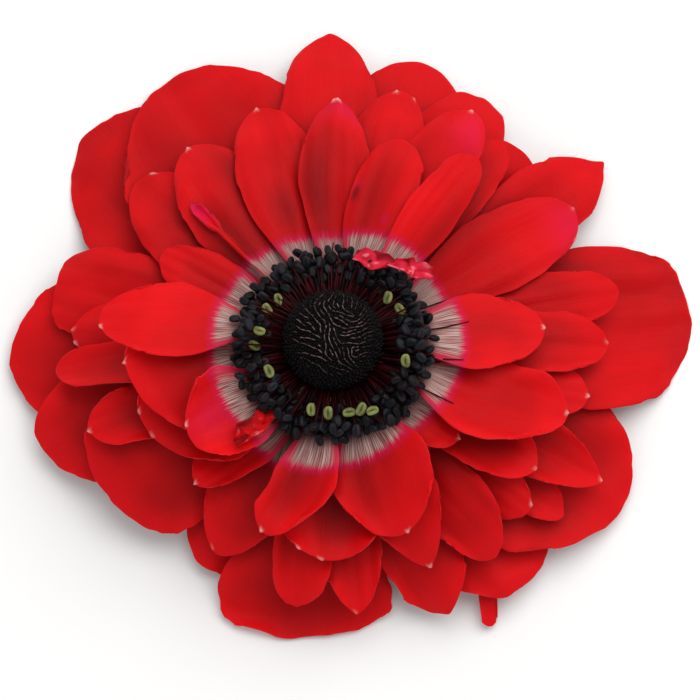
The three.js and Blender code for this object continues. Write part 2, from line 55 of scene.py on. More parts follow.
MM = 0.001
TURN = 2 * math.pi
PETAL_ROWS, PETAL_COLUMNS = 50, 42
SHEET = 0.3  # thickness of a petal's sheet in its middle
RIM_SHEET = 0.12  # and at its edge
BLADE = 0.75  # height of a CAD blade, with a little to spare
FREE = 3.2  # a sheet with this much room above it takes its full relief
SKY_REACH = 7.0  # blades further away than this hide no sky
CLEARANCE = 0.02  # of a sheet from the floor
NO_PETAL = 9.0  # height taken where no petal lies
VIEW_HEIGHT = 17  # the camera looks at this height
# The petals' formula, as in the CAD
ROOT_RADIUS = 6.3
ROOT_SPREAD = 0.8  # least gap between two roots, as a share of an even spacing
TIP_TAPER = 2.2
TIP_BEND = 0.95  # how far round a circle a rounded tip runs
WAVE_ACROSS, WAVE_TURNS = 3.3, 5  # radians of wave from midline to edge, and its shift with the azimuth
ROW_PACKING = 1.25  # above 1 the blade's rows stand closer together towards the tip
SHEET_PACKING = 1.35  # the same for a sheet's rows
EDGE_PACKING = 0.44 * math.pi  # nearer a quarter turn its columns stand closer together towards the edges

receptacle_low, receptacle_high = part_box("receptacle")
AXIS = np.array((receptacle_low + receptacle_high) / 2 / MM) * [1, 1, 0]  # where the axis stands in the frame

# ---- petals: the whorls' forms and the table

# A petal's form in the CAD's words, then how far it stands above its laid blade where nothing covers it:
# sides raised, rims on the plus side (counterclockwise) and the minus side, tip up, keel, broad folds and
# frilled margin. Its outline is crinkled, and may be longer or slender. dark is patches of painted shade and
# pink patches of pink: u, v, how far each way, and strength. marks are white points on the tip's edge: v and
# strength.
ANY = dict(
    round=0.8, point=0.0, skew=0.0, bend=0.0, keel=0, longer=0, slender=0, dark=(), pink=(), marks=(),
)
FORMS = {
    "outer": dict(
        ANY, rows=7, columns=6, arch=1.6, base=7.8, tip=1.4, cup=0.0, wave=0.5, claw=1.3, slim=2.3,
        widest=0.7, end=0.86, raised=0.1, plus=0.15, minus=0.15, tip_up=0.2, fold=0.6, frill=0.8, crinkle=0.4,
    ),
    "middle": dict(
        ANY, rows=6, columns=4, arch=1.6, base=9.2, tip=5.5, cup=0.3, wave=0.25, claw=1.2, slim=1.5,
        widest=0.66, end=0.8, point=0.1, raised=0.4, plus=0.3, minus=0.3, tip_up=0.3, fold=0.5, frill=0.3,
        crinkle=0.22,
    ),
    "inner": dict(
        ANY, rows=6, columns=4, arch=0.6, base=11.0, tip=10.5, cup=0.5, wave=0.2, claw=1.3, slim=1.3,
        widest=0.62, end=0.8, point=0.05, raised=0.7, plus=0.45, minus=0.45, tip_up=0.45, fold=0.5,
        frill=0.25, crinkle=0.2,
    ),
}
RESTING = dict(tip=-2.0, wave=0.0)

# Azimuth and reach of the tip, width, and what is the petal's own
PETALS = {
    "outer": [
        (301.3, 37.1, 2.4, dict(tip=1.2, columns=2, claw=1.2, widest=0.9, wave=0, bend=4, crinkle=0.03,
         frill=0.1, fold=0.1, longer=0.5)),
        (177.5, 40, 21, dict(round=0.7, dark=[(0.78, 0.1, 0.3, 0.7, 0.3)])),
        (311, 36.2, 19, dict(dark=[(0.7, -0.1, 0.2, 0.5, 0.2)])),
        (239, 29.8, 13, {}),
        (73, 39.9, 18.5, dict(dark=[(0.85, 0.5, 0.12, 0.3, 0.15)])),
        (134.3, 43, 22.5, dict(RESTING, round=0.7, dark=[(0.72, 0.25, 0.2, 0.35, 0.3)])),
        (195, 37.4, 16, dict(dark=[(0.75, 0.2, 0.25, 0.6, 0.3)])),
        (333, 39.6, 23.3, dict(round=0.65, skew=0.05,
         dark=[(0.8, 0.45, 0.2, 0.3, 0.3), (0.8, -0.5, 0.2, 0.3, 0.3)])),
        (117.8, 41.8, 26.5, dict(round=0.7, dark=[(0.8, 0.4, 0.3, 0.25, 0.18)])),
        (7.5, 44.6, 21, dict(RESTING, round=0.42, skew=0.14, dark=[(0.72, 0.75, 0.2, 0.3, 0.3)])),
        (263.5, 33.8, 21.3, dict(RESTING, end=0.97, round=0.3, widest=0.9, skew=-0.12,
         dark=[(0.9, 0.1, 0.12, 0.4, 0.25)])),
        (164.7, 35.7, 12, dict(round=0.4, dark=[(0.9, 0.4, 0.1, 0.3, 0.2)])),
        (211.5, 32.4, 17.5, dict(round=0.35, end=0.9, skew=-0.12, dark=[(0.75, 0.5, 0.25, 0.4, 0.35)])),
        (294.5, 34.5, 9.5, dict(point=0.5, round=0.5)),
        (61, 38.6, 11.5, {}),
        (90.7, 41.8, 11.6, dict(point=0.2, round=0.65)),
        (48.5, 35.6, 11, {}),
        (37.6, 42.3, 9.6, dict(point=0.6, round=0.6, dark=[(0.75, 0.5, 0.2, 0.4, 0.25)])),
    ],
    "middle": [
        (14, 36, 7.5, dict(dark=[(0.75, 0.3, 0.2, 0.5, 0.25)])),
        (351, 31.5, 8.5, dict(marks=[(0.0, 1.0)])),
        (325.5, 34, 6, {}),
        (275.5, 31.5, 7.5, dict(point=0.3, dark=[(0.7, -0.2, 0.2, 0.7, 0.4)], marks=[(-0.1, 0.4)])),
        (239.5, 27.8, 10.5, dict(dark=[(0.75, 0.45, 0.25, 0.4, 0.35)], marks=[(-0.2, 0.4)])),
        (198, 31, 7.5, dict(dark=[(0.72, 0.0, 0.2, 0.6, 0.6)], marks=[(0.05, 0.9)])),
        (174, 32, 9, dict(dark=[(0.72, 0.2, 0.2, 0.5, 0.5)], marks=[(0.4, 0.9), (-0.05, 0.5)])),
        (76, 35, 10, dict(dark=[(0.82, 0.85, 0.2, 0.25, 0.3)], marks=[(0.17, 0.8), (-0.43, 0.4)])),
        (52, 34, 6, dict(dark=[(0.6, -0.3, 0.25, 0.6, 0.5)])),
        (3, 33.7, 8, dict(dark=[(0.7, 0.1, 0.2, 0.6, 0.35)], marks=[(0.1, 0.4)])),
        (335, 36, 8, dict(point=0.5, dark=[(0.75, 0.5, 0.2, 0.4, 0.3)], marks=[(0.1, 0.8)])),
        (320.5, 30.5, 7.5, dict(marks=[(0.35, 0.8)])),
        (309, 31.5, 8.5, dict(dark=[(0.5, 0.7, 0.2, 0.3, 0.3)])),
        (294.5, 28.5, 9.5, dict(point=0.5, marks=[(0.0, 1.0)])),
        (261.7, 30.8, 7.5, dict(round=0.4, dark=[(0.85, -0.7, 0.2, 0.4, 0.2)])),
        (183, 34, 6, dict(dark=[(0.75, 0.2, 0.2, 0.6, 0.25)])),
        (137.5, 33.3, 12, dict(dark=[(0.68, -0.1, 0.28, 0.55, 0.4)], marks=[(-0.46, 1.0)])),
        (124, 32, 12, dict(dark=[(0.72, -0.5, 0.25, 0.4, 0.7), (0.5, 0.1, 0.25, 0.7, 0.4)],
         marks=[(0.05, 1.0)])),
        (106.5, 32.9, 10.5, dict(dark=[(0.48, 0.1, 0.15, 0.4, 0.6)], marks=[(0.05, 1.0)])),
        (61, 35.3, 9, dict(dark=[(0.6, 0.7, 0.25, 0.3, 0.4)], pink=[(0.9, -0.4, 0.1, 0.5, 0.5)],
         marks=[(0.0, 1.0)])),
        (89.3, 32.4, 9, dict(point=0.4, dark=[(0.55, 0.55, 0.32, 0.55, 0.75)],
         pink=[(0.97, -0.2, 0.06, 0.6, 0.5)], marks=[(-0.06, 1.0), (0.08, 1.0)], keel=0.6)),
        (32.2, 35.4, 10, dict(dark=[(0.6, 0.9, 0.25, 0.3, 0.5)], pink=[(0.95, -0.3, 0.1, 0.6, 0.5)],
         marks=[(-0.78, 0.9), (0.1, 0.4)])),
    ],
    "inner": [
        (329, 28.3, 8.5, dict(dark=[(0.6, 0.2, 0.3, 0.7, 0.65)], marks=[(0.0, 0.5)], tip_up=0.8, plus=0.6)),
        (321.5, 19, 7, dict(marks=[(0.1, 1.0)])),
        (269, 25.6, 13, dict(cup=0.9, round=0.35, dark=[(0.68, 0.1, 0.3, 0.5, 0.8)],
         marks=[(-0.74, 1.0), (-0.2, 1.0)], tip_up=0.9)),
        (223.5, 23.1, 7, dict(dark=[(0.75, 0.8, 0.3, 0.4, 0.3)], marks=[(0.1, 1.0)], minus=0.9)),
        (150, 24.4, 7, dict(dark=[(0.6, 0.1, 0.25, 0.6, 0.45)])),
        (72, 28, 8.5, dict(dark=[(0.6, 0.3, 0.35, 0.6, 0.55), (0.63, 0.82, 0.05, 0.1, 1.0)],
         pink=[(0.5, -0.28, 0.03, 0.08, 0.8), (0.69, 0.8, 0.02, 0.12, 0.8)])),
        (343.7, 29.5, 10.5, dict(cup=0.8, bend=-2, slim=1.8, dark=[(0.7, 0.3, 0.2, 0.4, 0.2)],
         marks=[(0.15, 0.9)], plus=0.5)),
        (290, 24.3, 12, dict(cup=1, round=0.65, dark=[(0.62, -0.4, 0.4, 0.5, 0.5)], marks=[(0.18, 1.0)],
         plus=0.8, tip_up=0.6)),
        (251.5, 24.2, 7.5, dict(cup=1.3, bend=1.8, dark=[(0.65, -0.3, 0.35, 0.6, 0.6)], marks=[(-0.39, 1.0)],
         plus=1.3)),
        (208.5, 23.8, 14, dict(cup=1, skew=-0.3, round=0.35, dark=[(0.6, 0.2, 0.3, 0.6, 0.5)],
         marks=[(-0.74, 1.0), (-0.2, 0.9)], plus=1.2, minus=0.8)),
        (5, 25.7, 10, dict(cup=0.9, dark=[(0.6, 0.1, 0.25, 0.5, 0.35)], marks=[(0.13, 1.0)], tip_up=0.9)),
        (197.5, 23.9, 16, dict(cup=1.2, slim=1.8, skew=-0.32, round=0.35, dark=[(0.65, 0.4, 0.3, 0.6, 0.5)],
         marks=[(-0.77, 1.3)], plus=1.2, tip_up=0.8)),
        (213.5, 20.6, 10.5, dict(cup=0.9, skew=0.12, round=0.5, pink=[(0.75, -0.1, 0.25, 0.4, 0.4)],
         marks=[(-0.27, 1.2)], plus=0.6, minus=0.4)),
        (174.5, 28, 9.6, dict(cup=0.9, slim=2, marks=[(0.27, 1.0)], plus=0.8, minus=0.3, tip_up=0.4,
         fold=0.3)),
        (133, 25.5, 3, dict(cup=0.9, dark=[(0.5, 0, 0.25, 1.5, 0.5)], pink=[(0.97, 0, 0.12, 1.5, 1.0)],
         slender=0.8, raised=0, plus=0.4, minus=0.4, fold=0.2, frill=0.3, tip_up=0.2)),
        (54, 29.5, 6, dict(dark=[(0.55, -0.6, 0.3, 0.5, 0.5)])),
    ],
}


def rise(x, start, over):
    """Smoothly from 0 where x is start to 1 where it is start + over."""
    t = np.clip((x - start) / over, 0, 1)
    return t * t * (3 - 2 * t)


def polar(radius, angle):
    return radius * math.cos(angle), radius * math.sin(angle)


def circle_drop(x):
    return 1 - np.sqrt(np.maximum(1 - x * x, 0))


def spread_roots(petals):
    """Places the roots of one whorl round the drum as the CAD does."""
    least = ROOT_SPREAD * TURN / len(petals)
    roots = [math.radians(p["azimuth"]) % TURN for p in petals]
    order = sorted(range(len(petals)), key=lambda k: roots[k])
    for _ in range(400):
        for k, a in enumerate(order):
            b = order[(k + 1) % len(order)]
            gap = (roots[b] - roots[a] + 4 * TURN) % TURN
            if gap > math.pi:
                gap -= TURN
            push = 0.25 * max(least - gap, 0)
            roots[a] -= push
            roots[b] += push
    for p, r in zip(petals, roots):
        p["root"] = (*polar(ROOT_RADIUS, r), r)


def petal_surface(p, u, v, set_off=0.0, widen=1.0):
    """The petal's unlaid middle surface; u runs from root to tip and v across, -1 to 1."""
    azimuth = math.radians(p["azimuth"])
    root_x, root_y, root_angle = p["root"]
    tip_x, tip_y = polar(p["reach"], azimuth)
    dx, dy = tip_x - root_x, tip_y - root_y
    length = math.hypot(dx, dy)
    lean = math.atan2(dy, dx) - root_angle
    lean -= TURN * round(lean / TURN)
    claw = p["claw"] / p["width"]
    swell = np.sin(np.minimum(1, u / p["widest"]) * math.pi / 2) ** p["slim"]
    fall = np.clip((u - p["widest"]) / (1 - p["widest"]), 0, 1) ** TIP_TAPER
    share = (claw + (1 - claw) * swell) * (1 - (1 - p["end"]) * fall)
    set_back = p["round"] * circle_drop(TIP_BEND * v) / circle_drop(TIP_BEND)
    set_back = set_back + p["point"] * np.abs(v) - p["skew"] * v
    along = length * u - 0.5 * p["width"] * (set_back + set_off) * u**3
    sway = 4 * p["bend"] * u * (1 - u) - 0.5 * length * lean * u * (1 - u) ** 2
    side = 0.5 * p["width"] * share * v * widen + sway
    w = along / length
    z = p["base"] + (p["tip"] - p["base"]) * w + 4 * p["arch"] * w * (1 - w)
    z = z + p["cup"] * v * v * rise(u, 0.3, 0.5)
    z = z + p["wave"] * np.sin(WAVE_ACROSS * v + WAVE_TURNS * azimuth) * rise(u, 0.55, 0.4)
    x = root_x + (along * dx - side * dy) / length
    y = root_y + (along * dy + side * dx) / length
    return x, y, z, along, side


def node_points(name):
    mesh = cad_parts[name].data
    co = np.zeros(len(mesh.vertices) * 3, np.float32)
    mesh.vertices.foreach_get("co", co)
    return co.reshape(-1, 3).astype(float) / MM - AXIS


def laid_offsets(p):
    """How far the CAD blade's lower face lies above the unlaid surface, at each of its grid points."""
    s = np.arange(p["rows"] + 1) / p["rows"]
    u = 1 - (1 - s) ** ROW_PACKING
    v = 2 * np.arange(p["columns"] + 1) / p["columns"] - 1
    u, v = np.meshgrid(u, v, indexing="ij")
    x, y, z, _, _ = petal_surface(p, u, v)
    points = node_points(p["name"])
    lift = np.zeros_like(z)
    for index in np.ndindex(z.shape):
        away = np.hypot(points[:, 0] - x[index], points[:, 1] - y[index])
        near = points[away < away.min() + 0.02]
        lift[index] = near[:, 2].min() - z[index]
    return lift


def cubic(a, t):
    """Weights of the four neighbours of a Catmull-Rom spline of tension a at t."""
    return np.stack([
        a * (-t + 2 * t**2 - t**3),
        1 + (a - 3) * t**2 + (2 - a) * t**3,
        a * t + (3 - 2 * a) * t**2 + (a - 2) * t**3,
        a * (-(t**2) + t**3),
    ])


def spline_rows(values, where):
    """values sampled down axis 0, read at fractional rows by a smooth spline."""
    padded = np.concatenate([2 * values[:1] - values[1:2], values, 2 * values[-1:] - values[-2:-1]])
    k = np.clip(np.floor(where).astype(int), 0, len(values) - 2)
    weights = cubic(0.42, where - k)
    return sum(weights[c][:, None] * padded[k + c] for c in range(4))


def line_noise(random_, count, knots):
    """A smooth seeded random curve of count samples, between about -1 and 1."""
    values = np.array([[random_.uniform(-1, 1)] for _ in range(knots + 1)])
    return spline_rows(values, np.linspace(0, knots, count))[:, 0]


def field_noise(random_, x, y):
    """Smooth seeded noise over the plane, between about -1 and 1, with one random value a unit square."""
    x, y = x - x.min(), y - y.min()
    kx, ky = np.floor(x).astype(int), np.floor(y).astype(int)
    lattice = np.array([[random_.uniform(-1, 1) for _ in range(ky.max() + 4)] for _ in range(kx.max() + 4)])
    wx, wy = cubic(0.5, x - kx), cubic(0.5, y - ky)
    return sum(wx[a] * wy[b] * lattice[kx + a, ky + b] for a in range(4) for b in range(4))


def spread(values, reach, pick):
    """pick, such as np.min, over each value's neighbours up to reach steps away."""
    padded = np.pad(values, reach, mode="edge")
    rows, columns = values.shape
    steps = range(2 * reach + 1)
    return pick([padded[a:a + rows, b:b + columns] for a in steps for b in steps], axis=0)


# ---- the CAD blades, to feel for room above

blade_points, blade_faces, blade_owner = [], [], []
for name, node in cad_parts.items():
    if name == "receptacle":
        continue
    offset = len(blade_points)
    blade_points.extend(node_points(name).tolist())
    for face in node.data.polygons:
        blade_faces.append([offset + i for i in face.vertices])
        blade_owner.append(name)
blades = BVHTree.FromPolygons(blade_points, blade_faces)
UP = Vector((0, 0, 1))
SKY = [
    (Vector((*polar(math.cos(e), a), math.sin(e))), weight)
    for e, weight, count in ((0.5, 1.0, 7), (1.05, 1.6, 5))
    for a in [TURN * (k + 0.3) / count for k in range(count)]
]
SKY_TOTAL = sum(weight for _, weight in SKY)


def feel_above(x, y, z, own):
    """Height from x, y, z up to the first blade that isn't own, at most FREE, and where the own one ends."""
    start, end = z + 0.2, z + BLADE
    while start < z + FREE:
        hit, _, face, _ = blades.ray_cast(Vector((x, y, start)), UP, z + FREE - start)
        if hit is None:
            break
        if blade_owner[face] != own:
            return hit.z - z, end
        start = hit.z + 0.01
        end = max(end, start)
    return FREE, end


def closed_sky_share(x, y, z):
    """How much of the sky over x, y, z is closed in by blades."""
    origin = Vector((x, y, z))
    closed = sum(weight for way, weight in SKY if blades.ray_cast(origin, way, SKY_REACH)[0] is not None)
    return closed / SKY_TOTAL


def over_grid(measure, points, *rest):
    flat = [measure(*point, *rest) for point in points.reshape(-1, 3).tolist()]
    return np.array(flat).reshape(*points.shape[:2], -1)


# ---- meshes


def make_mesh(name, vertices, faces, attributes=None, uv=None):
    mesh = bpy.data.meshes.new(name)
    vertices = (np.asarray(vertices, float) + AXIS) * MM
    mesh.from_pydata(vertices.tolist(), [], [tuple(map(int, f)) for f in faces])
    mesh.update()
    mesh.polygons.foreach_set("use_smooth", [True] * len(mesh.polygons))
    for key, values in (attributes or {}).items():
        layer = mesh.attributes.new(key, "FLOAT", "POINT")
        layer.data.foreach_set("value", np.asarray(values, np.float32))
    if uv is not None:
        layer = mesh.uv_layers.new(name="UVMap")
        loops = np.zeros(len(mesh.loops), np.int32)
        mesh.loops.foreach_get("vertex_index", loops)
        layer.data.foreach_set("uv", np.asarray(uv, np.float32)[loops].ravel())
    obj = bpy.data.objects.new(name, mesh)
    scene.collection.objects.link(obj)
    return obj


def sheet_faces(rows, columns):
    """Upper and lower faces and the edge's wall of a sheet: an upper grid of points, then a lower one."""
    count = rows * columns
    index = np.arange(count).reshape(rows, columns)
    a, b = index[:-1, :-1].ravel(), index[1:, :-1].ravel()
    c, d = index[:-1, 1:].ravel(), index[1:, 1:].ravel()
    upper = np.stack([a, b, d, c], 1)
    lower = np.stack([a, c, d, b], 1) + count
    loop = np.array([*index[:-1, 0], *index[-1, :-1], *index[:0:-1, -1], *index[0, :0:-1]])
    after = np.roll(loop, -1)
    wall = np.stack([loop + count, after + count, after, loop], 1)
    return np.concatenate([upper, lower, wall])


def make_sheet(name, points, thick, tones, uv=None):
    """A closed sheet, thick above its lower points, and its upper points. It stays just over the floor."""
    normal = np.cross(np.gradient(points, axis=0), np.gradient(points, axis=1))
    normal = normal / np.maximum(np.linalg.norm(normal, axis=2, keepdims=True), 1e-9)
    normal = np.where(normal[..., 2:] < 0, -normal, normal)
    lifted = points + np.maximum(0, CLEARANCE - points[..., 2:]) * [0, 0, 1]
    top = lifted + normal * thick[..., None]
    shape = (2, *thick.shape)
    tones = {key: np.broadcast_to(values, shape).ravel() for key, values in tones.items()}
    vertices = np.stack([top, lifted]).reshape(-1, 3)
    return make_mesh(name, vertices, sheet_faces(*thick.shape), tones, uv), top


def relief_of(p, u, v, along, side, rnd):
    """How far the sheet stands above its laid blade where nothing lies on it."""
    pressed = p["pressed"]
    out = rise(u, 0.22, 0.4)
    narrow = min(1.0, p["width"] / 8)
    half = np.abs(v)
    rim = np.where(v > 0, p["plus"], p["minus"]) * rise(half, 0.45, 0.55) ** 1.5
    height = narrow * p["raised"] * v * v * out + rim * rise(u, 0.28, 0.35)
    height = (height + p["tip_up"] * rise(u, 0.74, 0.26) ** 1.5) * (1 - 0.8 * pressed)
    height = height + p["keel"] * np.exp(-((v / 0.25) ** 2)) * out
    folds = 0.5 + 0.5 * field_noise(rnd, along / 8.0, side / 2.4)
    margin = np.maximum(rise(half, 0.55, 0.45), rise(u, 0.82, 0.18))
    frill = 0.5 + 0.5 * field_noise(rnd, along / 2.8, side / 2.8)
    height = height + narrow * p["fold"] * folds * out
    height = height + p["frill"] * frill * margin * out * (1 - 0.5 * pressed)
    return height - 0.6 * pressed * margin * rise(u, 0.3, 0.3)


def ring_faces(rings, sides):
    """Faces of a closed form: a first pole, rings of points from it on, and a last pole."""
    faces = []
    last = 1 + (rings - 1) * sides
    for s in range(sides):
        nxt = (s + 1) % sides
        faces.append((0, 1 + nxt, 1 + s))
        for a in range(1, last, sides):
            faces.append((a + s, a + nxt, a + nxt + sides, a + s + sides))
        faces.append((last + s, last + nxt, last + sides))
    return faces


def patches_of(patches, u, v):
    """The summed strength of soft patches, each given as u, v, how far along and across, and strength."""
    total = np.zeros_like(u)
    for at_u, at_v, wide_u, wide_v, strength in patches:
        total += strength * np.exp(-(((u - at_u) / wide_u) ** 2) - ((v - at_v) / wide_v) ** 2)
    return total


# Outer radius of the pale ring at the petals' bases, by azimuth
RING_AZIMUTHS = [0, 45, 90, 135, 180, 225, 270, 315, 360]
RING_RADII = [15.7, 15.5, 14.3, 14.9, 14.9, 14.8, 15.1, 14.4, 15.7]
MARK_WIDTH = 0.24  # of a white point at a petal's tip


def petal_tones(p, u, v, points, along, painted_sky_shade, ring_shift):
    """What the petals' materials read at each point of a sheet's grid."""
    radius = np.hypot(points[..., 0], points[..., 1])
    azimuth = np.degrees(np.arctan2(points[..., 1], points[..., 0])) % 360
    edge_line = along.max(axis=0, keepdims=True) - along
    tip_point = np.zeros_like(u)
    for at, strength in p["marks"]:
        across = np.exp(-(((v - at) * 0.5 * p["width"] / MARK_WIDTH) ** 2))
        tip_point = np.maximum(tip_point, strength * across * (1 - rise(edge_line, 0.2, 0.3)))
    # Painted highlight on the raised rims and the tip, weaker on the far side
    painted_highlight = np.maximum(rise(np.abs(v), 0.72, 0.28) * rise(u, 0.3, 0.3), rise(u, 0.8, 0.2))
    # Painted shade in the cup: darker across the middle towards the base, less on inner petals and on the far
    # side
    shade = 0.3 if p["whorl"] == "inner" else 0.45
    painted_cup_shade = shade * (1 - v * v) * (1 - rise(u, 0.4, 0.4)) * (1 - 0.6 * p["pressed"])
    # The closed-in sky, the dark patches and the cup's inside are painted shade; rims and tip carry a painted
    # highlight
    return {
        "radius": radius,
        "ring": radius - np.interp(azimuth, RING_AZIMUTHS, RING_RADII) - ring_shift,
        "side": np.abs(v),
        "painted_sky_shade": np.clip(painted_sky_shade, 0, 1),
        "dark": np.clip(patches_of(p["dark"], u, v) + painted_cup_shade, 0, 1),
        "pink": np.clip(patches_of(p["pink"], u, v), 0, 1),
        "painted_highlight": painted_highlight * (1 - 0.6 * p["pressed"]),
        "tip_point": np.clip(tip_point, 0, 1),
        "under": np.array([0.0, 1.0])[:, None, None],
    }


def petal_object(p, seed):
    """A closed thin sheet on the blade's surface, with its own folds, rims, outline and point."""
    rnd = random.Random(seed)
    rows, columns = PETAL_ROWS, PETAL_COLUMNS
    u1 = 1 - (1 - np.linspace(0, 1, rows)) ** SHEET_PACKING
    v1 = np.sin(np.linspace(-1, 1, columns) * EDGE_PACKING) / math.sin(EDGE_PACKING)
    u, v = np.meshgrid(u1, v1, indexing="ij")
    half_width = 0.5 * p["width"]

    # The outline: how far the tip's edge is set back, and how the sides waver
    knots = max(3, round(p["width"] / 3.2))
    edge = p["crinkle"] * (line_noise(rnd, columns, knots) + 0.35 * line_noise(rnd, columns, 4 * knots))
    for at, strength in p["marks"]:
        edge = edge - 0.28 * strength * np.exp(-(((v1 - at) * half_width / 0.22) ** 2))
    edge = edge - p["longer"]
    ripples = [line_noise(rnd, rows, 6) + 0.4 * line_noise(rnd, rows, 18) for _ in range(2)]
    ripple = p["crinkle"] * np.where(v > 0, ripples[0][:, None], ripples[1][:, None])
    widen = 1 + ripple * v**6 * rise(u, 0.3, 0.3) / half_width
    widen = widen * (1 - p["slender"] * (1 - 0.55 * rise(u, 0.74, 0.1)))
    x, y, z, along, side = petal_surface(p, u, v, edge[None, :] / half_width, widen)

    # Laid as its blade is, then raised where there is room
    at_rows = p["rows"] * (1 - (1 - u1) ** (1 / ROW_PACKING))
    at_columns = (v1 + 1) / 2 * p["columns"]
    z = z + spline_rows(spline_rows(laid_offsets(p), at_rows).T, at_columns).T
    base = np.stack([x, y, z], axis=2)
    felt = over_grid(feel_above, base, p["name"])
    room, blade_end = felt[..., 0], felt[..., 1]
    free = spread(rise(spread(room, 2, np.min), BLADE + 0.1, FREE - BLADE - 0.1), 2, np.mean)
    relief = relief_of(p, u, v, along, side, rnd) * spread(free, 1, np.mean)
    pleats = 0.05 * np.sin((9 + 5 * rnd.random()) * v + TURN * rnd.random()) * rise(u, 0.1, 0.5)
    groove = np.exp(-((v / 0.12) ** 2)) * rise(u, 0.15, 0.3) * (1 - rise(u, 0.6, 0.35))
    lift = relief + (pleats - 0.12 * groove) * min(1.0, p["width"] / 7)
    points = base + lift[..., None] * [0, 0, 1]
    thin_out = (1 - v**4) * (1 - rise(u, 0.85, 0.15))
    thick = RIM_SHEET + (SHEET - RIM_SHEET) * thin_out

    # Painted shade: the share of sky that the blades close in over each point darkens the colour there
    sky_points = np.concatenate([base[..., :2], blade_end[..., None] + 0.15], axis=2)
    painted_sky_shade = spread(over_grid(closed_sky_share, sky_points)[..., 0], 1, np.mean)
    tones = petal_tones(p, u, v, points, along, painted_sky_shade, rnd.uniform(-0.35, 0.35))
    uv = np.tile(np.stack([u.ravel(), (v.ravel() + 1) / 2], 1), (2, 1))
    return make_sheet(p["name"].replace("_petal", "_petal_sheet"), points, thick, tones, uv)


# ---- materials


class Nodes:
    """Short calls for building a node tree."""

    def __init__(self, name):
        self.material = bpy.data.materials.new(name)
        self.material.use_nodes = True
        self.tree = self.material.node_tree
        self.shader = self.tree.nodes["Principled BSDF"]

    def feed(self, socket, value):
        if isinstance(value, bpy.types.NodeSocket):
            self.tree.links.new(value, socket)
        else:
            socket.default_value = value

    def node(self, kind, output, inputs=(), **settings):
        """Makes a node, sets it up, feeds its inputs and returns one of its outputs."""
        made = self.tree.nodes.new("ShaderNode" + kind)
        for key, value in settings.items():
            setattr(made, key, value)
        for key, value in dict(inputs).items():
            self.feed(made.inputs[key], value)
        return made.outputs[output]

    def place(self):
        return self.node("TexCoord", "Object")

    def attribute(self, name):
        return self.node("Attribute", "Fac", attribute_name=name)

    def noise(self, vector, scale, detail=2.0, roughness=0.5):
        inputs = {"Vector": vector, "Scale": scale, "Detail": detail, "Roughness": roughness}
        return self.node("TexNoise", "Fac", inputs)

    def scaled(self, vector, by, offset):
        return self.node("Mapping", "Vector", {"Vector": vector, "Scale": by, "Location": offset})

    def ramp(self, value, low, high, to_low=0.0, to_high=1.0):
        inputs = enumerate((value, low, high, to_low, to_high))
        return self.node("MapRange", "Result", inputs, clamp=True, interpolation_type="SMOOTHSTEP")

    def times(self, a, b):
        return self.node("Math", 0, {0: a, 1: b}, operation="MULTIPLY")

    def plus(self, a, b):
        return self.node("Math", 0, {0: a, 1: b}, operation="ADD")

    def mix(self, share, a, b):
        return self.node("Mix", 2, {0: share, 6: a, 7: b}, data_type="RGBA")

    def bump(self, height, strength, distance):
        return self.node("Bump", "Normal", {"Height": height, "Strength": strength, "Distance": distance})

    def finish(self, colour, normal=None, roughness=0.5, **settings):
        self.feed(self.shader.inputs["Base Color"], colour)
        self.feed(self.shader.inputs["Roughness"], roughness)
        if normal is not None:
            self.feed(self.shader.inputs["Normal"], normal)
        for key, value in settings.items():
            self.shader.inputs[key.replace("_", " ")].default_value = value
        return self.material


def rgb(r, g, b):
    """An sRGB colour, 0 to 255, as linear RGBA."""
    def linear(c):
        c /= 255
        return c / 12.92 if c <= 0.04045 else ((c + 0.055) / 1.055) ** 2.4
    return (linear(r), linear(g), linear(b), 1.0)


DEEP_RED = rgb(114, 10, 14)
HIGHLIGHT_RED = rgb(236, 14, 24)
PINK = rgb(214, 22, 84)
MAGENTA = rgb(196, 20, 72)


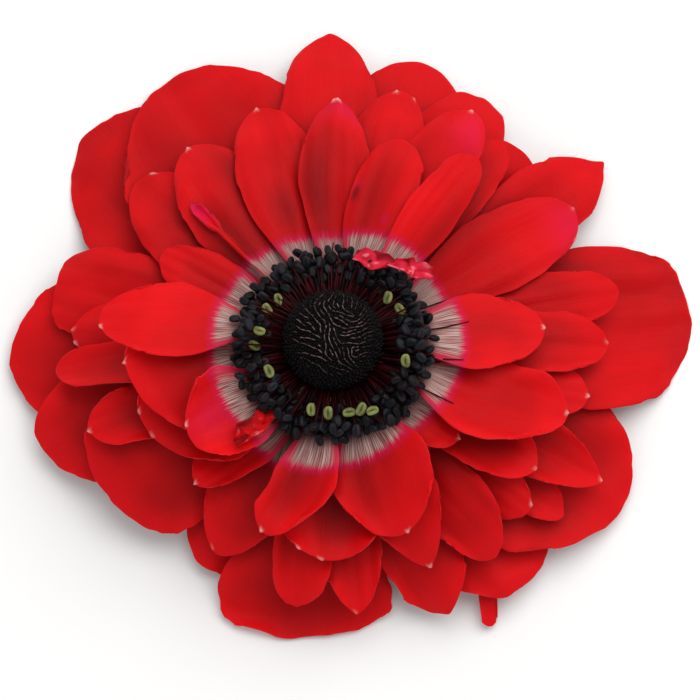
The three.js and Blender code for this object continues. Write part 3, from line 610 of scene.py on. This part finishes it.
def petal_material(name, full, bright, seed):
    """Red with veins and pink patches, painted shade and painted highlights, the pale ring at the base and a
    silky underside.
    """
    n = Nodes(name)
    uv = n.node("UVMap", "UV", uv_map="UVMap")
    place = n.place()
    veins = n.noise(n.scaled(uv, (2.0, 18, 1), (seed, seed, 0)), 1.0, 3.0, 0.6)
    threads = n.noise(n.scaled(uv, (3.5, 60, 1), (seed, 3, 0)), 1.0, 2.0, 0.5)
    hairs = n.noise(n.scaled(uv, (4.0, 95, 1), (seed, 9, 0)), 1.0, 1.0, 0.5)
    patches = n.noise(n.scaled(place, (1, 1, 1), (seed, 0, 0)), 110.0, 2.0, 0.5)
    cells = n.noise(place, 2600.0, 2.0, 0.6)

    colour = n.mix(n.ramp(patches, 0.33, 0.67), full, bright)
    colour = n.mix(n.ramp(veins, 0.5, 0.8, 0.0, 0.14), colour, DEEP_RED)
    colour = n.mix(n.ramp(threads, 0.5, 0.8, 0.0, 0.1), colour, DEEP_RED)
    # Painted highlight of bright red on the rims and tip
    colour = n.mix(n.times(n.attribute("painted_highlight"), 0.6), colour, HIGHLIGHT_RED)
    colour = n.mix(n.times(n.attribute("pink"), n.ramp(veins, 0.3, 0.7, 0.55, 0.95)), colour, PINK)
    # Painted shade where the blades close in the sky overhead
    colour = n.mix(n.ramp(n.attribute("painted_sky_shade"), 0.1, 0.9, 0.0, 0.48), colour, DEEP_RED)
    # Painted shade of the dark patches and of the cup's inside
    colour = n.mix(n.times(n.attribute("dark"), 0.9), colour, DEEP_RED)

    ragged = n.plus(n.attribute("ring"), n.plus(n.times(veins, -1.4), n.times(threads, -1.4)))
    colour = n.mix(n.ramp(ragged, -1.5, -0.5, 0.8, 0.0), colour, MAGENTA)
    inner = n.times(n.ramp(ragged, -2.3, -1.3, 1.0, 0.0), n.ramp(n.attribute("side"), 0.6, 0.92, 1.0, 0.1))
    pale = n.mix(n.ramp(hairs, 0.36, 0.62), rgb(196, 168, 160), rgb(128, 76, 78))
    pale = n.mix(n.ramp(veins, 0.56, 0.68, 0.0, 0.6), pale, rgb(128, 24, 44))
    colour = n.mix(inner, colour, pale)
    # Painted shade under the anthers: near-black maroon on the petals' bases within about 11 to 13 mm of the
    # axis
    colour = n.mix(n.ramp(n.attribute("radius"), 10.8, 13.0, 0.9, 0.0), colour, rgb(46, 9, 14))
    colour = n.mix(n.attribute("tip_point"), colour, rgb(236, 168, 164))
    silky = n.mix(n.ramp(veins, 0.4, 0.7), rgb(166, 36, 46), rgb(186, 80, 84))
    colour = n.mix(n.times(n.attribute("under"), 0.6), colour, silky)

    height = n.plus(n.plus(n.times(veins, 0.5), n.times(threads, 0.3)), n.times(cells, 0.12))
    return n.finish(
        colour, n.bump(height, 0.3, 0.0003), n.ramp(cells, 0.3, 0.7, 0.55, 0.68), Specular_IOR_Level=0.1,
        Subsurface_Weight=0.5, Subsurface_Radius=(1.0, 0.12, 0.08), Subsurface_Scale=0.0014,
    )


def crumpled_material(name, low, high, glint_colour):
    """For a crumpled scrap of petal: two reds, painted shade of deep red in its hollows and painted pale
    highlights on its crests.
    """
    n = Nodes(name)
    grain = n.noise(n.place(), 1400.0, 3.0, 0.6)
    colour = n.mix(n.ramp(n.noise(n.place(), 500.0), 0.4, 0.6), low, high)
    # Painted shade in the hollows, then painted highlights on the crests
    colour = n.mix(n.times(n.attribute("painted_hollow_shade"), 0.8), colour, DEEP_RED)
    colour = n.mix(n.times(n.attribute("painted_glints"), n.ramp(grain, 0.35, 0.6)), colour, glint_colour)
    rough = n.ramp(grain, 0.3, 0.7, 0.6, 0.75)
    return n.finish(colour, n.bump(grain, 0.4, 0.0002), rough, Specular_IOR_Level=0.08)


def stem_material(name, dark, light):
    """Two greens mixed by a noise, with a fine bump."""
    n = Nodes(name)
    share = n.noise(n.place(), 700.0, 3.0, 0.6)
    grain = n.noise(n.place(), 2800.0, 2.0, 0.5)
    colour = n.mix(n.ramp(share, 0.35, 0.65), dark, light)
    return n.finish(colour, n.bump(n.plus(share, grain), 0.5, 0.0003), n.ramp(grain, 0.3, 0.7, 0.5, 0.7))


def tone_material(name, dark, light, roughness, specular):
    """A dark to light colour by each small form's tone, broken up by a fine noise."""
    n = Nodes(name)
    grain = n.noise(n.place(), 900.0, 3.0, 0.6)
    colour = n.mix(n.times(n.attribute("tone"), n.ramp(grain, 0.3, 0.7, 0.5, 1.3)), dark, light)
    rough = n.ramp(grain, 0.3, 0.7, roughness - 0.08, roughness + 0.1)
    return n.finish(colour, n.bump(grain, 0.3, 0.0002), rough, Specular_IOR_Level=specular)


def dress(piece, material, replaced=None):
    """Gives a piece its material and body, and hides the CAD node that it replaces."""
    piece.data.materials.append(material)
    if replaced:
        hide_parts(replaced)
    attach(piece, "root")


# ---- build the petals

petals = []
for whorl, rows in PETALS.items():
    group = []
    for azimuth, reach, width, own in rows:
        p = dict(FORMS[whorl], whorl=whorl, azimuth=azimuth, reach=reach, width=width, **own)
        p["name"] = f"{whorl}_petal_{len(group) + 1:02d}"
        # How flat it lies on its neighbours: fully on the far side, not at all on the near side
        p["pressed"] = float(rise(math.sin(math.radians(azimuth)), -0.2, 0.5))
        group.append(p)
    spread_roots(group)
    petals.extend(group)

# Two shades a whorl: full red, bright red and the seed of the noise
SHADES = {
    "outer": [((182, 7, 13), (202, 8, 14), 3.0), ((190, 7, 13), (210, 8, 15), 10.0)],
    "middle": [((192, 7, 13), (212, 9, 16), 5.0), ((198, 8, 14), (218, 9, 16), 12.0)],
    "inner": [((200, 8, 14), (220, 10, 17), 8.0), ((204, 8, 14), (224, 10, 17), 15.0)],
}
shades = {
    whorl: [
        petal_material(f"petal_{whorl}_{letter}", rgb(*full), rgb(*bright), seed)
        for letter, (full, bright, seed) in zip("ab", pair)
    ]
    for whorl, pair in SHADES.items()
}
tops = []
for number, p in enumerate(petals):
    sheet, top = petal_object(p, 100 + number)
    tops.append(top)
    dress(sheet, shades[p["whorl"]][number % 2], p["name"])

# ---- heights of the petals near the middle

upper_faces = sheet_faces(PETAL_ROWS, PETAL_COLUMNS)[:(PETAL_ROWS - 1) * (PETAL_COLUMNS - 1)]
tree_vertices = np.concatenate([top.reshape(-1, 3) for top in tops])
tree_faces = np.concatenate([upper_faces + k * PETAL_ROWS * PETAL_COLUMNS for k in range(len(tops))])
petal_tree = BVHTree.FromPolygons(tree_vertices.tolist(), tree_faces.tolist())


def petal_top(x, y):
    """Height of the highest petal at x, y."""
    hit = petal_tree.ray_cast(Vector((x, y, 60)), -UP)[0]
    return hit.z if hit is not None else NO_PETAL


def top_near(x, y, reach):
    return max(petal_top(x + a * reach, y + b * reach) for a in (-1, 0, 1) for b in (-1, 0, 1))


CRUMPLED_ROWS, CRUMPLED_COLUMNS = 44, 18
CRUMPLED_SHEET = 0.14  # its thickness


def crumpled_sheet(name, path, widths, heights, crumple, seed):
    """A small closed crumpled sheet along a path of x, y, with its widths and heights."""
    rnd = random.Random(seed)
    t = np.linspace(0, 1, CRUMPLED_ROWS)
    at = t * (len(path) - 1)
    line = spline_rows(np.asarray(path, float), at)
    width, height = spline_rows(np.array([widths, heights], float).T, at).T
    way = np.gradient(line, axis=0)
    way /= np.linalg.norm(way, axis=1, keepdims=True)
    along, v = np.meshgrid(t, np.linspace(-1, 1, CRUMPLED_COLUMNS), indexing="ij")
    length = np.linalg.norm(np.diff(line, axis=0), axis=1).sum()
    place_x, place_y = along * length, v * 0.5 * width[:, None]
    noise = [field_noise(rnd, place_x / 0.85, place_y / 0.85) for _ in range(3)]
    fine = field_noise(rnd, place_x / 0.5, place_y / 0.5)
    x = line[:, :1] - way[:, 1:] * place_y + 0.4 * crumple * noise[0]
    y = line[:, 1:] + way[:, :1] * place_y + 0.4 * crumple * noise[1]
    curl = 0.225 * width[:, None] * v * v
    z = height[:, None] + crumple * (0.5 + 0.5 * noise[2]) + 0.12 * fine + curl
    tones = {
        # Painted highlights on the crests and painted shade in the hollows
        "painted_glints": rise(fine, 0.35, 0.3) * rise(noise[2], -0.1, 0.5),
        "painted_hollow_shade": rise(-noise[2], 0.05, 0.5),
    }
    points = np.stack([x, y, z], axis=2)
    return make_sheet(name, points, np.full(x.shape, CRUMPLED_SHEET), tones)[0]


# The curled petal is a crumpled ribbon with two knots, on the anthers
curl_path = [(2.7, 10.4), (4.6, 9.9), (6.6, 9.5), (8.2, 8.9), (9.9, 8.6), (11.8, 8.3)]
curl_widths = [1.6, 2.3, 1.3, 1.9, 2.4, 1.5]
curl_heights = [18.0, 18.4, 18.6, 18.5, 18.2, 17.8]
curl_sheet = crumpled_sheet("curled_petal_sheet", curl_path, curl_widths, curl_heights, 0.9, 77)
curl_red = crumpled_material("petal_curled", rgb(170, 10, 22), rgb(208, 34, 62), rgb(226, 116, 130))
dress(curl_sheet, curl_red, "curled_petal")

# A torn, crumpled petaloid lies on the inner petals at the lower left
scrap_path = [(-6.9, -8.6), (-8.2, -9.4), (-9.4, -10.3), (-10.6, -11.4), (-11.4, -12.6)]
scrap_widths = [1.2, 2.1, 2.7, 2.4, 1.3]
scrap_heights = [top_near(x, y, 1.2) + 0.15 for x, y in scrap_path]
scrap = crumpled_sheet("petaloid_crumpled", scrap_path, scrap_widths, scrap_heights, 0.8, 31)
scrap_red = crumpled_material("petaloid_red", rgb(165, 8, 14), rgb(205, 12, 20), rgb(222, 96, 96))
dress(scrap, scrap_red)

# ---- stamens

ANTHER_SIDES, ANTHER_STEPS = 14, 8


def anther_template():
    """A two-lobed anther of unit length along x, grooved above and underneath, and where it isn't grooved."""
    vertices, flesh = [(-0.5, 0, 0)], [1.0]
    for k in range(1, ANTHER_STEPS):
        t = math.pi * k / ANTHER_STEPS
        for s in range(ANTHER_SIDES):
            a = TURN * (s + 0.5) / ANTHER_SIDES
            top = math.exp(-(((a - TURN / 4) / 0.4) ** 2))
            under = math.exp(-(((a - 3 * TURN / 4) / 0.4) ** 2))
            r = 0.5 * math.sin(t) ** 0.7 * (1 - 0.45 * top * math.sin(t) - 0.25 * under)
            vertices.append((-0.5 * math.cos(t), *polar(r, a)))
            flesh.append(1 - top * math.sin(t) ** 2)
    vertices.append((0.5, 0, 0))
    flesh.append(1.0)
    return np.array(vertices), ring_faces(ANTHER_STEPS - 1, ANTHER_SIDES), np.array(flesh)


class Batch:
    """Gathers many small forms into one mesh."""

    def __init__(self):
        self.vertices, self.faces, self.values, self.count = [], [], [], 0

    def add(self, vertices, faces, value):
        self.vertices.append(np.asarray(vertices, float))
        self.faces.extend([tuple(i + self.count for i in f) for f in faces])
        self.values.append(np.broadcast_to(value, len(vertices)))
        self.count += len(vertices)

    def make(self, name):
        tones = {"tone": np.concatenate(self.values)}
        return make_mesh(name, np.concatenate(self.vertices), self.faces, tones)


def tube(path, radii, sides):
    """A closed tube through the points of path."""
    path = np.asarray(path, float)
    way = np.gradient(path, axis=0)
    way /= np.maximum(np.linalg.norm(way, axis=1, keepdims=True), 1e-9)
    vertices = []
    for point, direction, radius in zip(path, way, radii):
        across = np.cross(direction, [0, 0, 1.0])
        if np.linalg.norm(across) < 0.05:
            across = np.cross(direction, [1.0, 0, 0])
        across /= np.linalg.norm(across)
        normal = np.cross(across, direction)
        for s in range(sides):
            a = TURN * s / sides
            vertices.append(point + radius * (math.cos(a) * across + math.sin(a) * normal))
    faces = []
    for k in range(len(path) - 1):
        for s in range(sides):
            a, b = k * sides + s, k * sides + (s + 1) % sides
            faces.append((a, a + sides, b + sides, b))
    faces.append(tuple(range(sides)))
    last = (len(path) - 1) * sides
    faces.append(tuple(last + s for s in reversed(range(sides))))
    return np.array(vertices), faces


# The olive anthers: azimuth and radius as seen from the camera, and the turn of each
OLIVE = [
    (141, 8.4, 105), (153, 8.9, 120), (170.5, 8.9, 165), (182, 9.4, 150), (204, 8.3, 115), (252, 8.5, 92),
    (266, 8.5, 90), (283, 8.6, 8), (293, 8.7, 62), (300, 9.4, 20), (40, 8.6, 75), (27, 9.0, 130),
    (346, 8.9, 95),
]
SIDE_SLIP = 0.193  # how far up the picture a millimetre of height moves a point
ANTHER_TRIES = 60  # for each anther of a layer
# Anthers by layer: the most there may be, least and greatest radius, height over petals
LAYERS = [(140, 8.6, 12.0, 0.3), (130, 8.3, 11.7, 1.35), (84, 8.2, 11.0, 2.3)]
ANTHER_SHAPE = np.array([1.66, 1.16, 1.02])  # length, width and height
STAMEN_FLOOR = 14.2  # no anther hangs lower
FILAMENT_FOOT, FILAMENT_FOOT_HEIGHT = 5.35, 16.6  # where it comes out from under the dome
FILAMENT_RADIUS = 0.15
BARE_FILAMENTS = 150  # with no anther of their own
stamen_random = random.Random(5)
anther_vertices, anther_faces, anther_flesh = anther_template()
anthers, olive_anthers, filaments = Batch(), Batch(), Batch()
placed = []


def filament(x, y, z, tone):
    """From the collar under the dome out to x, y, z."""
    azimuth = math.atan2(y, x) + stamen_random.uniform(-0.06, 0.06)
    start = np.array([*polar(FILAMENT_FOOT, azimuth), FILAMENT_FOOT_HEIGHT])
    end = np.array([x, y, z])
    bow = stamen_random.uniform(0.1, 0.9)
    path = []
    for t in np.linspace(0, 1, 6):
        point = start + (end - start) * t
        point[2] += 4 * bow * t * (1 - t)
        if math.hypot(point[0], point[1]) > 6.2:
            point[2] = max(point[2], petal_top(point[0], point[1]) + 0.2)
        path.append(point)
    filaments.add(*tube(path, np.linspace(FILAMENT_RADIUS, 0.7 * FILAMENT_RADIUS, 6), 5), tone)


def anther(x, y, z, batch, turn, tilt, roll, size, tone):
    shape = anther_vertices * ANTHER_SHAPE * size
    shape[:, 1] += 0.12 * shape[:, 0] ** 2 * stamen_random.choice((-1, 1))
    turned = shape @ np.array(Euler((roll, -tilt, turn)).to_matrix()).T
    batch.add(turned + [x, y, z], anther_faces, tone * anther_flesh)
    placed.append((x, y, z))
    filament(x, y, z - 0.25, stamen_random.random())


def resting_height(x, y):
    return max(STAMEN_FLOOR, top_near(x, y, 0.8) + 0.55)


for azimuth, radius, turn in OLIVE:
    x, y = polar(radius, math.radians(azimuth))
    z = resting_height(x, y) + 2.7
    y -= SIDE_SLIP * (z - VIEW_HEIGHT)
    size = stamen_random.uniform(0.9, 1.02)
    anther(x, y, z, olive_anthers, math.radians(turn), 0.1, 0.0, size, 1.0)
olive_places = list(placed)
for count, low, high, above in LAYERS:
    made = 0
    for _ in range(ANTHER_TRIES * count):
        a = TURN * stamen_random.random()
        radius = math.sqrt(stamen_random.uniform(low**2, high**2)) + 0.25 * math.sin(7 * a + 2 * above)
        x, y = polar(radius, a)
        z = resting_height(x, y) + above + stamen_random.uniform(-0.25, 0.3)
        y -= SIDE_SLIP * (z - VIEW_HEIGHT) * 0.5
        if any((x - q[0]) ** 2 + (y - q[1]) ** 2 + 1.4 * (z - q[2]) ** 2 < 1.2 for q in placed):
            continue
        if any(math.hypot(x - q[0], y - q[1]) < 1.35 and z > q[2] - 1.2 for q in olive_places):
            continue
        turn = a + stamen_random.gauss(0, 0.8)
        tilt, roll = stamen_random.uniform(-0.6, 0.6), stamen_random.uniform(-0.8, 0.8)
        size = stamen_random.uniform(0.72, 0.98)
        anther(x, y, z, anthers, turn, tilt, roll, size, stamen_random.random() ** 2)
        made += 1
        if made == count:
            break
for k in range(BARE_FILAMENTS):
    a = TURN * (k + stamen_random.random()) / BARE_FILAMENTS
    x, y = polar(stamen_random.uniform(7.6, 9.8), a)
    z = 16.3 + stamen_random.uniform(-0.9, 0.9)
    filament(x, y, z, stamen_random.random())

# A few long filaments lie across the pale ring: azimuth at the anthers and at the end, and radius there
FALLEN_FROM = 11.2  # radius at the anthers
FALLEN = [(91, 90, 13.6), (27, 25, 15.6), (7.5, 10, 16.6), (-11, -8.5, 15.8), (-29, -28, 16.3)]
for start, end, radius in FALLEN:
    path = []
    for t in np.linspace(0, 1, 9):
        r = FALLEN_FROM + (radius - FALLEN_FROM) * t
        x, y = polar(r, math.radians(start + (end - start) * t))
        path.append((x, y, petal_top(x, y) + 0.12 + 0.5 * (1 - t) ** 2))
    filaments.add(*tube(path, np.linspace(0.13, 0.06, 9), 6), 1.0)

anther_black = tone_material("anther_black", rgb(5, 5, 8), rgb(34, 36, 44), 0.5, 0.16)
anther_olive = tone_material("anther_olive", rgb(34, 30, 16), rgb(134, 140, 80), 0.6, 0.15)
filament_maroon = tone_material("filament_maroon", rgb(10, 2, 4), rgb(62, 4, 11), 0.55, 0.1)
dress(anthers.make("anthers_black"), anther_black, "stamens")
dress(olive_anthers.make("anthers_olive"), anther_olive)
dress(filaments.make("filaments"), filament_maroon)

# ---- pistil dome

dome_low, dome_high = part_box("pistil_dome")
DOME_BOTTOM = dome_low.z / MM
DOME_TOP = dome_high.z / MM
DOME_RADIUS = (dome_high.x - dome_low.x) / 2 / MM
DOME_SKIN = 0.45  # depth of the skin that the pistils stand on
DOME_RINGS, DOME_SIDES = 18, 48
PISTILS = 900
GOLDEN_TURN = 0.381966
STYLED_X, STYLED_Y = 4.8, 5.2  # half width and half depth of the patch that carries pale curved styles
STYLED_BACK = 0.3  # and how far its middle lies behind the axis
ROW_PITCH = 0.46
ROW_STEP = 0.13
ROW_TRIES = 900


def dome_point(tilt, angle, swell=0.0):
    """A point of the dome's skin; tilt is 0 at its widest ring and a quarter turn at its top."""
    radius = (DOME_RADIUS - DOME_SKIN + swell) * max(math.cos(tilt), 0) ** 0.8
    z = DOME_BOTTOM + 0.7 + (DOME_TOP - DOME_BOTTOM - 1.25 + swell) * math.sin(tilt)
    return np.array([*polar(radius, angle), z])


def dome_height(x, y):
    """Height of the dome's skin over x, y."""
    share = min(math.hypot(x, y) / (DOME_RADIUS - DOME_SKIN), 1)
    return dome_point(math.acos(share**1.25), 0)[2]


dome_foot = DOME_RADIUS - 2 * DOME_SKIN
dome_vertices = [(0, 0, DOME_BOTTOM)]
for s in range(DOME_SIDES):
    dome_vertices.append((*polar(dome_foot, TURN * s / DOME_SIDES), DOME_BOTTOM))
for k in range(DOME_RINGS):
    for s in range(DOME_SIDES):
        dome_vertices.append(dome_point(TURN / 4 * k / DOME_RINGS, TURN * s / DOME_SIDES))
dome_vertices.append(dome_point(TURN / 4, 0))
dome_tones = {"tone": np.zeros(len(dome_vertices))}
dome_body = make_mesh("pistil_body", dome_vertices, ring_faces(DOME_RINGS + 1, DOME_SIDES), dome_tones)

# Short black pistils all over the dome
style_random = random.Random(9)
styles = Batch()
for k in range(PISTILS):
    tilt = math.acos(0.995 * ((k + 0.5) / PISTILS) ** 0.5)
    angle = k * TURN * GOLDEN_TURN + style_random.uniform(-0.03, 0.03)
    skin = dome_point(tilt, angle)
    out = dome_point(tilt, angle, 0.5) - skin
    out /= np.linalg.norm(out)
    length = style_random.uniform(0.16, 0.32)
    path = [skin - out * 0.15, skin + out * 0.1, skin + out * length]
    styles.add(*tube(path, [0.17, 0.15, 0.06], 5), 0.04 * style_random.random())

# Pale curved styles lie in rows on the dome's top. Where the rows run: x, y and direction in degrees.
ROW_WAYS = [
    (-3.9, 1.5, -38), (-3.5, 0.1, -22), (-2.5, -1.3, -12), (-1.8, -2.9, -28), (-0.8, 0.5, 92),
    (-0.6, -1.5, 97), (0.3, -2.5, -52), (1.8, -0.9, 4), (3.8, -0.6, 24), (4.2, 1.2, 38), (1.5, -2.1, 90),
    (3.4, -2.0, 20), (2.2, -3.7, -30), (0.4, -4.6, -15), (-1.7, 4.2, 60), (2.0, 4.2, 86), (3.4, 3.8, 78),
    (1.0, 2.0, -22), (-2.0, 2.5, -52),
]


def styled(x, y):
    """How far x, y lies from the middle of the styled patch; 1 is on its edge."""
    return math.hypot(x / STYLED_X, (y - STYLED_BACK) / STYLED_Y)


def row_way(x, y):
    """The direction of the rows at x, y, with a slow wander."""
    c = s = 0.0
    for px, py, degrees in ROW_WAYS:
        weight = 1 / (0.15 + (x - px) ** 2 + (y - py) ** 2) ** 1.6
        c += weight * math.cos(2 * math.radians(degrees))
        s += weight * math.sin(2 * math.radians(degrees))
    wander = 0.3 * math.sin(2.3 * x + 1.1 * y) * math.sin(1.7 * y - 1.3 * x + 0.6)
    return polar(1, 0.5 * math.atan2(s, c) + wander)


def trace_row(x, y, taken):
    """Follows the rows both ways from x, y until the patch ends or another row is near."""
    line = []
    for sense in (1, -1):
        part, px, py = [], x, y
        last = None
        while styled(px, py) < 1 and len(part) < 45:
            apart = 0.86 * ROW_PITCH * (1 - 0.06 * px)
            if any((px - a) ** 2 + (py - b) ** 2 < apart**2 for a, b in taken):
                break
            part.append((px, py))
            wx, wy = row_way(px, py)
            turn = sense if last is None else (1 if wx * last[0] + wy * last[1] > 0 else -1)
            last = (wx * turn, wy * turn)
            px, py = px + ROW_STEP * last[0], py + ROW_STEP * last[1]
        line = part[::-1] + line[1:] if sense == 1 else line + part[1:]
    return line


taken = []
for _ in range(ROW_TRIES):
    a, r = TURN * style_random.random(), math.sqrt(style_random.random())
    row = trace_row(STYLED_X * r * math.cos(a), STYLED_Y * r * math.sin(a) + STYLED_BACK, taken)
    if len(row) < 5:
        continue
    taken.extend(row)
    at = 0
    while at < len(row) - 3:
        count = min(style_random.randint(4, 8), len(row) - at)
        part = row[at:at + count]
        at += count - style_random.randint(0, 1)
        if len(part) < 3:
            continue
        bend = style_random.uniform(-0.08, 0.08)
        path = []
        for k, (px, py) in enumerate(part):
            t = k / (len(part) - 1)
            arch = 4 * t * (1 - t)
            path.append((px + bend * arch, py, dome_height(px, py) + 0.2 + 0.22 * arch))
        fade = 1 - 0.75 * rise(styled(*part[0]), 0.62, 0.38)
        tone = fade * style_random.uniform(0.25, 1.0)
        thick = style_random.uniform(0.06, 0.085)
        radii = thick * (0.6 + 0.4 * np.sin(np.linspace(0, math.pi, len(path))))
        styles.add(*tube(path, radii, 5), tone)
pistil_black = tone_material("pistil_black", rgb(4, 3, 4), rgb(10, 7, 8), 0.75, 0.08)
style_brown = tone_material("style_brown", rgb(6, 4, 5), rgb(122, 98, 96), 0.65, 0.1)
dress(dome_body, pistil_black, "pistil_dome")
dress(styles.make("pistil_styles"), style_brown)

# ---- receptacle, floor, light and camera

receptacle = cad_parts["receptacle"]
receptacle.data.materials.clear()
receptacle.data.materials.append(stem_material("stem_green", rgb(92, 112, 52), rgb(140, 152, 88)))

FLOOR_HALF = 3000
floor_corners = [(x * FLOOR_HALF, y * FLOOR_HALF, 0) for x, y in ((-1, -1), (1, -1), (1, 1), (-1, 1))]
floor = make_mesh("floor", floor_corners, [(0, 1, 2, 3)])
n = Nodes("floor_white")
floor_colour = n.mix(n.noise(n.place(), 40.0), rgb(246, 246, 246), rgb(250, 250, 250))
floor.data.materials.append(n.finish(floor_colour, roughness=0.8))


def aimed(name, data, place, target):
    """Adds a light or a camera at place that looks at target, both in metres."""
    made = bpy.data.objects.new(name, data)
    made.location = place
    made.rotation_mode = "QUATERNION"
    made.rotation_quaternion = (target - place).to_track_quat("-Z", "Y")
    scene.collection.objects.link(made)
    return made


light = bpy.data.lights.new("key", "AREA")
light.shape = "DISK"
light.size = 0.9
light.energy = 5.3
light.color = (1.0, 0.99, 0.97)
aimed("key", light, Vector((0.2, 0.36, 0.72)), Vector((0, 0, 0.012)))
world = bpy.data.worlds.new("soft_white")
world.use_nodes = True
background = world.node_tree.nodes["Background"]
background.inputs["Color"].default_value = (1, 1, 1, 1)
background.inputs["Strength"].default_value = 0.62
scene.world = world
scene.view_settings.view_transform = "Standard"
scene.view_settings.look = "None"

CAMERA_ELEVATION = math.radians(79.5)
CAMERA_DISTANCE = 0.52
FRAME_WIDTH = 0.084
SENSOR_WIDTH = 36
camera = bpy.data.cameras.new("camera")
camera.sensor_width = SENSOR_WIDTH
camera.lens = SENSOR_WIDTH * CAMERA_DISTANCE / FRAME_WIDTH
camera.clip_start, camera.clip_end = 0.01, 20
target = Vector((AXIS + [2.04, -0.86, VIEW_HEIGHT]) * MM)
back = Vector((0, -math.cos(CAMERA_ELEVATION), math.sin(CAMERA_ELEVATION)))
scene.camera = aimed("camera", camera, target + back * CAMERA_DISTANCE, target)

bpy.context.view_layer.update()
